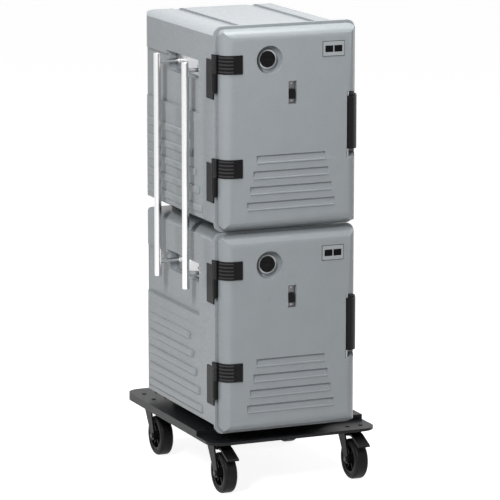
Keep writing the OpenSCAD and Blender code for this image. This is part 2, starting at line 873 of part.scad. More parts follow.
// Handle
module handle_bar(y) {
  low = standoff_z0 - bar_under;
  color("gainsboro") translate([bar_x, bar_mid_y + y, low])
    cylinder(d = bar_d, h = standoff_z1 + bar_over - low);
}

// A standoff: a wide round flare at the plate, a slim middle and a saddle flare at the bar
module standoff_form() {
  len = plate_x - standoff_x;
  foot = standoff_foot_d / 2;
  slim = standoff_d / 2;
  flare = foot - slim;
  saddle = 0.4 * bar_d;
  rotate([0, 90, 0]) rotate_extrude() {
    polygon([[0, 0], [saddle, 0], [saddle - 1, flare / 2], [slim + 0.5, 1.5 * flare], [slim, 2.5 * flare],
             [slim, len], [0, len]]);
    difference() {
      translate([0, len - flare]) square([foot, flare]);
      translate([foot, len - flare]) circle(flare);
    }
  }
}

module handle_standoffs() {
  color("gainsboro") for (y = [-1, 1] * bar_pitch / 2, z = [standoff_z0, standoff_z1]) difference() {
    translate([standoff_x, bar_mid_y + y, z]) standoff_form();
    translate([bar_x, bar_mid_y + y, z - standoff_foot_d]) cylinder(d = bar_d, h = 2 * standoff_foot_d);
  }
}

module handle_plate(z) {
  color("silver") difference() {
    block([plate_x, front_y + pocket_front + plate_gap, z - pocket_h / 2 + plate_gap],
          [plate_x + plate_t, front_y + pocket_front + pocket_l - plate_gap, z + pocket_h / 2 - plate_gap]);
    for (y = [-1, 1] * plate_hole_y) translate([0, bar_mid_y + y, z]) rod_x(plate_hole_d, -far, far);
  }
}

// Dolly
module dolly_deck() {
  color([0.13, 0.13, 0.14]) difference() {
    translate([deck_x, deck_y0, caster_h]) linear_extrude(deck_t) round_rect(deck_w, deck_l, deck_r);
    block([-far, -far, deck_top - step_h], [far, deck_y0 + step_l, far]);
    for (s = [-1, 1]) translate([box_x + s * skid_x, front_y, 0])
      block([-skid_w / 2 - skid_gap, skid_y - 2, lower_z],
            [skid_w / 2 + skid_gap, back_y - back_r / 2 + 2, far]);
    at_deck_bolts() cylinder(d = bolt_d, h = far);
  }
}

module at_deck_bolts() {
  for (c = casters, x = [-1, 1], y = [-1, 1])
    translate([c[0] + x * plate_bolt_x / 2, c[1] + y * plate_bolt_y / 2, 0]) children();
}

// Height of the deck's upper face at a place along Y
function deck_face(y) = y < deck_y0 + step_l ? deck_top - step_h : deck_top;

module deck_bolts() {
  low = caster_h - caster_plate_t - nut_h;
  color([0.2, 0.2, 0.2]) for (c = casters, x = [-1, 1], y = [-1, 1]) {
    bolt_y = c[1] + y * plate_bolt_y / 2;
    translate([c[0] + x * plate_bolt_x / 2, bolt_y, low]) {
      cylinder(d = bolt_d, h = deck_face(bolt_y) - low);
      translate([0, 0, deck_face(bolt_y) - low]) cylinder(d = 1.7 * bolt_d, h = bolt_head_h);
      cylinder(d = bolt_d + 5, h = nut_h, $fn = 6);
    }
  }
}

module caster_plates() {
  color([0.3, 0.3, 0.31]) for (c = casters) translate([c[0], c[1], 0]) {
    difference() {
      block([-plate_bolt_x / 2 - plate_rim, -plate_bolt_y / 2 - plate_rim, caster_h - caster_plate_t],
            [plate_bolt_x / 2 + plate_rim, plate_bolt_y / 2 + plate_rim, caster_h]);
      for (x = [-1, 1], y = [-1, 1]) translate([x * plate_bolt_x / 2, y * plate_bolt_y / 2, 0])
        cylinder(d = bolt_d, h = far);
    }
    translate([0, 0, head_z0]) cylinder(d = kingpin_d, h = caster_h - caster_plate_t - head_z0 + eps);
    translate([0, 0, head_z0]) cylinder(d = kingpin_d + head_h, h = head_h);
  }
}

// The outline of a fork's leg, with Y to the right and Z up
module leg_plan() {
  boss = axle_d / 2 + 9;
  translate([-trail, wheel_r]) circle(boss);
  polygon([[-trail - boss, wheel_r], [fork_front, crown_z0 + web_t], [fork_back, crown_z0 + web_t],
           [-trail + boss, wheel_r]]);
}

module fork() {
  color([0.1, 0.1, 0.11]) difference() {
    union() {
      translate([0, 0, crown_z0]) cylinder(r = leg_x, h = crown_z1 - crown_z0);
      block([-leg_x - leg_t, fork_front, crown_z0], [leg_x + leg_t, fork_back, crown_z0 + web_t]);
      for (s = [-1, 1]) along_x(s > 0 ? leg_x : -leg_x - leg_t, s > 0 ? leg_x + leg_t : -leg_x) leg_plan();
    }
    translate([0, 0, crown_z0 - 1]) cylinder(r = kingpin_d / 2 + pin_gap, h = far);
    translate([0, -trail, wheel_r]) rod_x(axle_d, -far / 2, far / 2);
  }
}

module axle() {
  reach = leg_x + leg_t;
  color("silver") translate([0, -trail, wheel_r]) {
    rod_x(axle_d, -reach - 1, reach + 1);
    for (x = [-reach - axle_head_h, reach]) rod_x(axle_d + 6, x, x + axle_head_h);
  }
}

module hub() {
  half = tyre_w / 2;
  reach = half + wheel_gap - turn_gap;
  color([0.12, 0.12, 0.12]) translate([0, -trail, wheel_r]) difference() {
    union() {
      difference() {
        rod_x(hub_d, -half + 2, half - 2);
        rod_x(hub_d - 2 * rim_t, -far, -hub_web / 2);
        rod_x(hub_d - 2 * rim_t, hub_web / 2, far);
      }
      rod_x(boss_d, -reach, reach);
      for (a = [0 : 60 : 179]) rotate([a, 0, 0])
        block([-half + 6, -hub_d / 2 + rim_t - 2, -2], [half - 6, hub_d / 2 - rim_t + 2, 2]);
    }
    rod_x(axle_d + 2 * pin_gap, -far, far);
  }
}

// A tyre: a band around the hub with two round shoulders
module tyre() {
  color([0.09, 0.09, 0.09]) translate([-tyre_w / 2, -trail, wheel_r]) rotate([0, 90, 0])
  rotate_extrude() {
    translate([hub_d / 2, 0]) square([wheel_r - tread_r - hub_d / 2, tyre_w]);
    translate([hub_d / 2, tread_r]) square([wheel_r - hub_d / 2, tyre_w - 2 * tread_r]);
    for (z = [tread_r, tyre_w - tread_r]) translate([wheel_r - tread_r, z]) circle(tread_r);
  }
}

// A brake pedal: an arm in front of the crown that slopes down to a flared tip
module pedal() {
  tip = -trail - pedal_reach;
  half = pedal_w / 2;
  arm_y = pedal_arm_y;
  heel_y = pedal_pin_y + 2;
  color([0.12, 0.12, 0.13]) difference() {
    union() {
      along_x(-half, half) polygon([
        [heel_y, pedal_z + 8], [arm_y, pedal_z + 6], [tip + 4, pedal_z - 16], [tip, pedal_z - 20],
        [tip, pedal_z - 24], [tip + 8, pedal_z - 22], [arm_y, pedal_z - 1], [heel_y, pedal_z - 1]]);
      translate([0, pedal_pin_y, pedal_pin_z]) rod_x(pedal_pin_d + 4, -half, half);
    }
    translate([0, pedal_pin_y, pedal_pin_z]) rod_x(pedal_pin_d + 2 * pin_gap, -far, far);
  }
}

module at_caster(i) { translate([casters[i][0], casters[i][1], 0]) children(); }

// The fork of a caster with a brake also holds the pedal's pin between its cheeks
module braked_fork() {
  cheek = pedal_w / 2 + 0.6;
  front = pedal_pin_y - cheek_y / 2;
  back = pedal_pin_y + cheek_y;
  fork();
  color([0.1, 0.1, 0.11]) {
    for (x = [[-leg_x, -cheek], [cheek, leg_x]])
      block([x[0], front, crown_z0 - 8], [x[1], back, crown_z0 + web_t]);
    translate([0, pedal_pin_y, pedal_pin_z]) rod_x(pedal_pin_d, -cheek - 1, cheek + 1);
  }
}

lower() body_shell();  // lower_body_shell
lower() body_foam();  // lower_body_foam
lower() gasket();  // lower_gasket
lower() hinge_body_leaves();  // lower_hinge_body_leaves
lower() hinge_pins();  // lower_hinge_pins
lower() latch_keeper();  // lower_latch_keeper
lower() door_shell();  // lower_door_shell
lower() door_foam();  // lower_door_foam
lower() hinge_door_leaves();  // lower_hinge_door_leaves
lower() vent_ring();  // lower_vent_ring
lower() clip_plate();  // lower_clip_plate
lower() label_plate();  // lower_label_plate
lower() door_screws();  // lower_door_screws
lower() vent_knob();  // lower_vent_knob
lower() menu_clip();  // lower_menu_clip
lower() latch_lever();  // lower_latch_lever
lower() latch_pin();  // lower_latch_pin
upper() body_shell();  // upper_body_shell
upper() body_foam();  // upper_body_foam
upper() gasket();  // upper_gasket
upper() hinge_body_leaves();  // upper_hinge_body_leaves
upper() hinge_pins();  // upper_hinge_pins
upper() latch_keeper();  // upper_latch_keeper
upper() door_shell();  // upper_door_shell
upper() door_foam();  // upper_door_foam
upper() hinge_door_leaves();  // upper_hinge_door_leaves
upper() vent_ring();  // upper_vent_ring
upper() clip_plate();  // upper_clip_plate
upper() label_plate();  // upper_label_plate
upper() door_screws();  // upper_door_screws
upper() vent_knob();  // upper_vent_knob
upper() menu_clip();  // upper_menu_clip
upper() latch_lever();  // upper_latch_lever
upper() latch_pin();  // upper_latch_pin
handle_bar(-bar_pitch / 2);  // front_handle_bar
handle_bar(bar_pitch / 2);  // rear_handle_bar
handle_standoffs();
handle_plate(standoff_z1);  // upper_handle_plate
handle_plate(standoff_z0);  // lower_handle_plate
dolly_deck();
caster_plates();
deck_bolts();
at_caster(0) braked_fork();  // front_left_fork
at_caster(0) hub();  // front_left_hub
at_caster(0) tyre();  // front_left_tyre
at_caster(0) axle();  // front_left_axle
at_caster(0) pedal();  // front_left_pedal
at_caster(1) braked_fork();  // front_right_fork
at_caster(1) hub();  // front_right_hub
at_caster(1) tyre();  // front_right_tyre
at_caster(1) axle();  // front_right_axle
at_caster(1) pedal();  // front_right_pedal
at_caster(2) fork();  // rear_left_fork
at_caster(2) hub();  // rear_left_hub
at_caster(2) tyre();  // rear_left_tyre
at_caster(2) axle();  // rear_left_axle
at_caster(3) fork();  // rear_right_fork
at_caster(3) hub();  // rear_right_hub
at_caster(3) tyre();  // rear_right_tyre
at_caster(3) axle();  // rear_right_axle
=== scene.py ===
"""Dresses the enclosed meal tray cart: moulded carriers, black fittings, a steel handle and a dolly."""

import json
import logging
import math
from dataclasses import dataclass
from enum import Enum

import bmesh
import bpy
from mathutils import Matrix, Vector


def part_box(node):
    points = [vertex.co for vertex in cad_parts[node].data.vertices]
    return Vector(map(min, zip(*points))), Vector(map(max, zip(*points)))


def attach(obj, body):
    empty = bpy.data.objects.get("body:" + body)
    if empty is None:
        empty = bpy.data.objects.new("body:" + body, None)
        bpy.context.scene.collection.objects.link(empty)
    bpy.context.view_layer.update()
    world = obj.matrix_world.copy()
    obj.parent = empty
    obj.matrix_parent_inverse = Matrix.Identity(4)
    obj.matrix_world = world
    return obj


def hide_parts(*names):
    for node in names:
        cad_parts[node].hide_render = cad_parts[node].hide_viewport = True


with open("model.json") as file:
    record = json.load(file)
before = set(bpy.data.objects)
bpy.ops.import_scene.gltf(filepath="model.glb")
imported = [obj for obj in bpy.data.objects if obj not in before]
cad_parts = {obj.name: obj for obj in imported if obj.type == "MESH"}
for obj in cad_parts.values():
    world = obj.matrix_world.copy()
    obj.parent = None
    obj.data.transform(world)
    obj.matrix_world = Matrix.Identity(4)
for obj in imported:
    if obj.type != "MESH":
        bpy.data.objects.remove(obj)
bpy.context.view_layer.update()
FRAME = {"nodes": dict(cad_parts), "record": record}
BODY_OF: dict[str, str] = {
    node: body for body, nodes in FRAME["record"]["behaviour"]["bodies"].items() for node in nodes
}
LOG = logging.getLogger("tray_cart")
MM = 0.001
X, Y, Z = Vector((1, 0, 0)), Vector((0, 1, 0)), Vector((0, 0, 1))
WELD = 1e-6
SOFT_DEG = 60.0
NOISE_LOW, NOISE_HIGH = 0.3, 0.7
DUST_REACH = 0.25
DUST_COLOUR = (0.35, 0.34, 0.32, 1.0)


class Grain(Enum):
    """How the fine relief of a surface runs."""

    EVEN = "even"
    BRUSHED_Z = "brushed_z"
    BRUSHED_X = "brushed_x"


GRAIN_STRETCH: dict[Grain, tuple[float, float, float]] = {
    Grain.EVEN: (1.0, 1.0, 1.0),
    Grain.BRUSHED_Z: (1.0, 1.0, 0.02),
    Grain.BRUSHED_X: (0.02, 1.0, 1.0),
}


def new_group(name: str, inputs: dict[str, float], outputs: dict[str, str]) -> bpy.types.NodeTree:
    """Makes an empty shader node group with named sockets.

    Args:
        name: The group's name.
        inputs: Each float input and its default.
        outputs: Each output and its socket type.

    Returns:
        The group, with its input and output nodes in place.
    """
    group = bpy.data.node_groups.new(name, "ShaderNodeTree")
    group.interface.new_socket("Vector", in_out="INPUT", socket_type="NodeSocketVector")
    for label, value in inputs.items():
        socket = group.interface.new_socket(label, in_out="INPUT", socket_type="NodeSocketFloat")
        socket.default_value = value
    for label, kind in outputs.items():
        group.interface.new_socket(label, in_out="OUTPUT", socket_type=kind)
    group.nodes.new("NodeGroupInput").name = "In"
    group.nodes.new("NodeGroupOutput").name = "Out"
    return group


def noise(
    tree: bpy.types.NodeTree, vector: bpy.types.NodeSocket, scale: float, detail: float
) -> bpy.types.Node:
    """Adds a noise texture that reads a vector.

    Args:
        tree: The tree that gets the node.
        vector: The coordinates to read.
        scale: Noise cells per metre.
        detail: Octaves of finer noise.

    Returns:
        The noise node.
    """
    node = tree.nodes.new("ShaderNodeTexNoise")
    node.inputs["Scale"].default_value = scale
    node.inputs["Detail"].default_value = detail
    tree.links.new(vector, node.inputs["Vector"])
    return node


def spread(
    tree: bpy.types.NodeTree, value: bpy.types.NodeSocket, low: float, high: float
) -> bpy.types.NodeSocket:
    """Maps the middle of a noise value to the range low to high.

    Args:
        tree: The tree that gets the node.
        value: A value around 0.5.
        low: Result at NOISE_LOW and under it.
        high: Result at NOISE_HIGH and over it.

    Returns:
        The mapped value's socket.
    """
    node = tree.nodes.new("ShaderNodeMapRange")
    node.inputs["From Min"].default_value = NOISE_LOW
    node.inputs["From Max"].default_value = NOISE_HIGH
    node.inputs["To Min"].default_value = low
    node.inputs["To Max"].default_value = high
    tree.links.new(value, node.inputs["Value"])
    return node.outputs["Result"]


def grain_group() -> bpy.types.NodeTree:
    """Builds the grain that every finish shares: a fine relief, and broad patches for the colour."""
    outputs = {"Height": "NodeSocketFloat", "Mask": "NodeSocketFloat"}
    group = new_group("surface_grain", {"Cells": 400.0}, outputs)
    source, sink = group.nodes["In"], group.nodes["Out"]
    fine = noise(group, source.outputs["Vector"], 400.0, 3.0)
    group.links.new(source.outputs["Cells"], fine.inputs["Scale"])
    broad = noise(group, source.outputs["Vector"], 14.0, 2.0)
    group.links.new(fine.outputs["Fac"], sink.inputs["Height"])
    group.links.new(spread(group, broad.outputs["Fac"], 0.0, 1.0), sink.inputs["Mask"])
    return group


def grime_group() -> bpy.types.NodeTree:
    """Builds the dust that gathers low on the object, broken up by noise."""
    group = new_group("low_dust", {"Reach": DUST_REACH}, {"Mask": "NodeSocketFloat"})
    source, sink = group.nodes["In"], group.nodes["Out"]
    split = group.nodes.new("ShaderNodeSeparateXYZ")
    group.links.new(source.outputs["Vector"], split.inputs[0])
    fall = group.nodes.new("ShaderNodeMapRange")
    fall.inputs["To Min"].default_value = 1.0
    fall.inputs["To Max"].default_value = 0.0
    group.links.new(split.outputs["Z"], fall.inputs["Value"])
    group.links.new(source.outputs["Reach"], fall.inputs["From Max"])
    patches = noise(group, source.outputs["Vector"], 30.0, 4.0)
    both = group.nodes.new("ShaderNodeMath")
    both.operation = "MULTIPLY"
    group.links.new(fall.outputs["Result"], both.inputs[0])
    group.links.new(spread(group, patches.outputs["Fac"], 0.0, 1.0), both.inputs[1])
    group.links.new(both.outputs[0], sink.inputs["Mask"])
    return group


@dataclass(frozen=True)
class Finish:
    """One surface finish, from its colour down to its grain."""

    name: str
    colour: tuple[float, float, float]
    roughness: float
    metallic: float = 0.0
    cells: float = 400.0
    relief: float = 0.05
    mottle: float = 0.06
    dust: float = 0.0
    specular: float = 0.5
    grain: Grain = Grain.EVEN

    def material(self) -> bpy.types.Material:
        """Returns this finish's material, built on first use."""
        return bpy.data.materials.get(self.name) or self._build()

    def _build(self) -> bpy.types.Material:
        """Builds the material from the shared groups."""
        material = bpy.data.materials.new(self.name)
        material.use_nodes = True
        tree = material.node_tree
        shader = tree.nodes["Principled BSDF"]
        shader.inputs["Metallic"].default_value = self.metallic
        shader.inputs["Specular IOR Level"].default_value = self.specular
        place = tree.nodes.new("ShaderNodeTexCoord")
        turn = tree.nodes.new("ShaderNodeMapping")
        turn.inputs["Scale"].default_value = GRAIN_STRETCH[self.grain]
        tree.links.new(place.outputs["Object"], turn.inputs["Vector"])
        grain = self._use(tree, "surface_grain", turn.outputs["Vector"], {"Cells": self.cells})
        dust = self._use(tree, "low_dust", place.outputs["Object"], {"Reach": DUST_REACH})
        colour = self._tint(tree, grain.outputs["Mask"], dust.outputs["Mask"])
        tree.links.new(colour, shader.inputs["Base Color"])
        low, high = self.roughness * 0.9, min(1.0, self.roughness * 1.12)
        tree.links.new(spread(tree, grain.outputs["Height"], low, high), shader.inputs["Roughness"])
        bump = tree.nodes.new("ShaderNodeBump")
        bump.inputs["Strength"].default_value = self.relief
        bump.inputs["Distance"].default_value = MM
        tree.links.new(grain.outputs["Height"], bump.inputs["Height"])
        tree.links.new(bump.outputs["Normal"], shader.inputs["Normal"])
        return material

    @staticmethod
    def _use(
        tree: bpy.types.NodeTree, name: str, vector: bpy.types.NodeSocket, values: dict[str, float]
    ) -> bpy.types.Node:
        """Places a shared group in a material.

        Args:
            tree: The material's tree.
            name: The group's name.
            vector: The coordinates that it reads.
            values: Its own settings here.

        Returns:
            The group node.
        """
        node = tree.nodes.new("ShaderNodeGroup")
        node.node_tree = bpy.data.node_groups[name]
        tree.links.new(vector, node.inputs["Vector"])
        for label, value in values.items():
            node.inputs[label].default_value = value
        return node

    def _tint(
        self, tree: bpy.types.NodeTree, mottle: bpy.types.NodeSocket, dust: bpy.types.NodeSocket
    ) -> bpy.types.NodeSocket:
        """Mixes the colour's light and dark shades, then the dust over them.

        Args:
            tree: The material's tree.
            mottle: The mask of the light patches.
            dust: The mask of the dust.

        Returns:
            The mixed colour's socket.
        """
        dark = tuple(c * (1.0 - self.mottle) for c in self.colour)
        light = tuple(min(1.0, c * (1.0 + self.mottle)) for c in self.colour)
        shades = tree.nodes.new("ShaderNodeMix")
        shades.data_type = "RGBA"
        shades.inputs["A"].default_value = (*dark, 1.0)
        shades.inputs["B"].default_value = (*light, 1.0)
        tree.links.new(mottle, shades.inputs["Factor"])
        amount = tree.nodes.new("ShaderNodeMath")
        amount.operation = "MULTIPLY"
        amount.inputs[1].default_value = self.dust
        tree.links.new(dust, amount.inputs[0])
        over = tree.nodes.new("ShaderNodeMix")
        over.data_type = "RGBA"
        over.inputs["B"].default_value = DUST_COLOUR
        tree.links.new(amount.outputs[0], over.inputs["Factor"])
        tree.links.new(shades.outputs["Result"], over.inputs["A"])
        return over.outputs["Result"]


SHELL = Finish("moulded_grey", (0.292, 0.316, 0.332), 0.28, cells=520.0, mottle=0.02, specular=0.34)
BLACK = Finish(
    "black_nylon", (0.0045, 0.0045, 0.005), 0.38, cells=900.0, relief=0.10, mottle=0.15, specular=0.12
)
# A paler black: the axles' own dark tone, and painted highlight on the hinge barrel rings and the leaf
# ridges.
PALE_BLACK_AND_HIGHLIGHT = Finish(
    "pale_black_and_painted_highlight", (0.030, 0.030, 0.032), 0.30, cells=900.0, relief=0.06, mottle=0.15, specular=0.25
)
DECK = Finish(
    "black_deck", (0.009, 0.0095, 0.011), 0.36, cells=260.0, relief=0.20, mottle=0.12, specular=0.15
)
RUBBER = Finish(
    "tyre_rubber", (0.0035, 0.0035, 0.004), 0.46, cells=600.0, relief=0.2, mottle=0.2, dust=0.03,
    specular=0.12,
)
STEEL = Finish("brushed_steel", (0.80, 0.80, 0.81), 0.24, 1.0, cells=1400.0, grain=Grain.BRUSHED_Z)
PLATE = Finish("steel_plate", (0.72, 0.72, 0.73), 0.30, 1.0, cells=1400.0, grain=Grain.BRUSHED_X)
# Steel for the clip plate, with painted shade: its dark colour stands for the shade of the recess that the
# plate sits in, not the steel's own pale tone.
CLIP_STEEL_PAINTED_SHADE = Finish("clip_steel_painted_shade", (0.14, 0.14, 0.145), 0.34, 1.0, cells=1400.0, grain=Grain.BRUSHED_Z)
ZINC = Finish("plated_steel", (0.38, 0.38, 0.40), 0.32, 1.0, cells=700.0, relief=0.08, mottle=0.12)
RING = Finish("pale_ring", (0.58, 0.59, 0.60), 0.32, cells=700.0)
LABEL = Finish("label_grey", (0.33, 0.352, 0.366), 0.36, cells=900.0, relief=0.04, mottle=0.02)
WINDOW = Finish("dark_window", (0.004, 0.004, 0.005), 0.5, cells=300.0, relief=0.01, specular=0.05)
SEAL = Finish("door_seal", (0.10, 0.10, 0.105), 0.6, cells=500.0, relief=0.1)
FOAM = Finish("wall_foam", (0.72, 0.62, 0.36), 0.9, cells=300.0, relief=0.6, mottle=0.1)


def round_edges(
    work: bmesh.types.BMesh, edges: list[bmesh.types.BMEdge], width: float, segments: int
) -> None:
    """Rounds edges of a mesh.

    Args:
        work: The mesh.
        edges: Its edges to round.
        width: How far the rounding reaches from an edge, in metres.
        segments: Faces across the rounding.
    """
    bmesh.ops.bevel(work, geom=edges, offset=width, offset_type="OFFSET", segments=segments, profile=0.5,
                    affect="EDGES", clamp_overlap=True, material=-1)


def mesh_piece(
    name: str, work: bmesh.types.BMesh, finish: Finish, body: str, smooth_deg: float = 32.0
) -> bpy.types.Object:
    """Turns a finished bmesh into a piece that rides on a body.

    Args:
        name: The piece's name.
        work: Its mesh, freed here.
        finish: Its surface.
        body: The body that carries it.
        smooth_deg: Edges sharper than this stay sharp.

    Returns:
        The new object.
    """
    limit = math.radians(smooth_deg)
    for edge in work.edges:
        edge.smooth = len(edge.link_faces) == 2 and edge.calc_face_angle(math.pi) < limit
    for face in work.faces:
        face.smooth = True
    mesh = bpy.data.meshes.new(name)
    work.to_mesh(mesh)
    work.free()
    piece = bpy.data.objects.new(name, mesh)
    bpy.context.scene.collection.objects.link(piece)
    mesh.materials.append(finish.material())
    shading = piece.modifiers.new("flat_faces_lead", "WEIGHTED_NORMAL")
    shading.mode, shading.keep_sharp = "FACE_AREA", True
    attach(piece, body)
    return piece


def soften(
    node: str, finish: Finish, width: float, segments: int = 2, sharp_deg: float = 28.0
) -> bpy.types.Object:
    """Replaces a CAD node by the same shape with its moulded or broken edges rounded.

    Args:
        node: The CAD node.
        finish: The piece's surface.
        width: How far the rounding reaches from an edge, in metres.
        segments: Faces across the rounding.
        sharp_deg: Only edges sharper than this are rounded.

    Returns:
        The new piece.
    """
    work = bmesh.new()
    work.from_mesh(FRAME["nodes"][node].data)
    bmesh.ops.remove_doubles(work, verts=work.verts, dist=WELD)
    bmesh.ops.dissolve_limit(work, angle_limit=math.radians(0.5), verts=work.verts, edges=work.edges)
    limit = math.radians(sharp_deg)
    sharp = [e for e in work.edges if len(e.link_faces) == 2 and e.calc_face_angle(0.0) > limit]
    round_edges(work, sharp, width, segments)
    piece = mesh_piece(f"{node}_finished", work, finish, BODY_OF[node])
    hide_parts(node)
    return piece


def dress(node: str, finish: Finish) -> None:
    """Gives a CAD node that keeps its shape its finish.

    Args:
        node: The CAD node.
        finish: Its surface.
    """
    mesh = FRAME["nodes"][node].data
    mesh.materials.clear()
    mesh.materials.append(finish.material())


def node_box(node: str) -> tuple[Vector, Vector]:
    """Returns a CAD node's lowest and highest corners at rest."""
    low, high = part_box(node)
    return Vector(low), Vector(high)


def spun(
    profile: list[tuple[float, float]], centre: Vector, axis: Vector, steps: int
) -> bmesh.types.BMesh:
    """Spins a profile into a closed round form.

    Args:
        profile: Radius and distance along the axis for each point, from axis to axis or closed on itself.
        centre: The point that the distances count from.
        axis: The unit vector to spin about.
        steps: Faces round the form.

    Returns:
        The spun mesh.
    """
    side = axis.orthogonal().normalized()
    work = bmesh.new()
    verts = [work.verts.new(centre + side * r + axis * h) for r, h in profile]
    edges = [work.edges.new(pair) for pair in zip(verts, verts[1:])]
    if profile[0][0] > 0:
        edges.append(work.edges.new((verts[-1], verts[0])))
    bmesh.ops.spin(work, geom=verts + edges, cent=centre, axis=axis, angle=math.tau, steps=steps,
                   use_merge=True)
    bmesh.ops.remove_doubles(work, verts=work.verts, dist=WELD)
    bmesh.ops.recalc_face_normals(work, faces=work.faces)
    return work


def arc(
    cx: float, cy: float, r: float, start: float, stop: float, steps: int = 5
) -> list[tuple[float, float]]:
    """Lists points along an arc of a profile.

    Args:
        cx: Radius of the arc's centre from the profile's axis.
        cy: Distance of the arc's centre along the axis.
        r: The arc's own radius.
        start: Angle of its first point, in degrees.
        stop: Angle of its last point, in degrees.
        steps: Lengths that it is divided into.

    Returns:
        Its points, as radius and distance along the axis.
    """
    turns = (math.radians(start + (stop - start) * i / steps) for i in range(steps + 1))
    return [(cx + r * math.cos(a), cy + r * math.sin(a)) for a in turns]


def add_block(work: bmesh.types.BMesh, low: Vector, high: Vector, width: float) -> None:
    """Adds a block with rounded edges to a mesh.

    Args:
        work: The mesh that gets the block.
        low: Its lowest corner.
        high: Its highest corner.
        width: The rounding's reach.
    """
    size = high - low
    matrix = Matrix.Translation((low + high) / 2) @ Matrix.Diagonal((*size, 1.0))
    made = bmesh.ops.create_cube(work, size=1.0, matrix=matrix)
    edges = list({edge for vert in made["verts"] for edge in vert.link_edges})
    round_edges(work, edges, width, 2)


def add_mesh(work: bmesh.types.BMesh, other: bmesh.types.BMesh) -> None:
    """Adds another mesh's faces to a mesh.

    Args:
        work: The mesh that gets the faces.
        other: The mesh that they come from, freed here.
    """
    mesh = bpy.data.meshes.new("joining")
    other.to_mesh(mesh)
    other.free()
    work.from_mesh(mesh)
    bpy.data.meshes.remove(mesh)


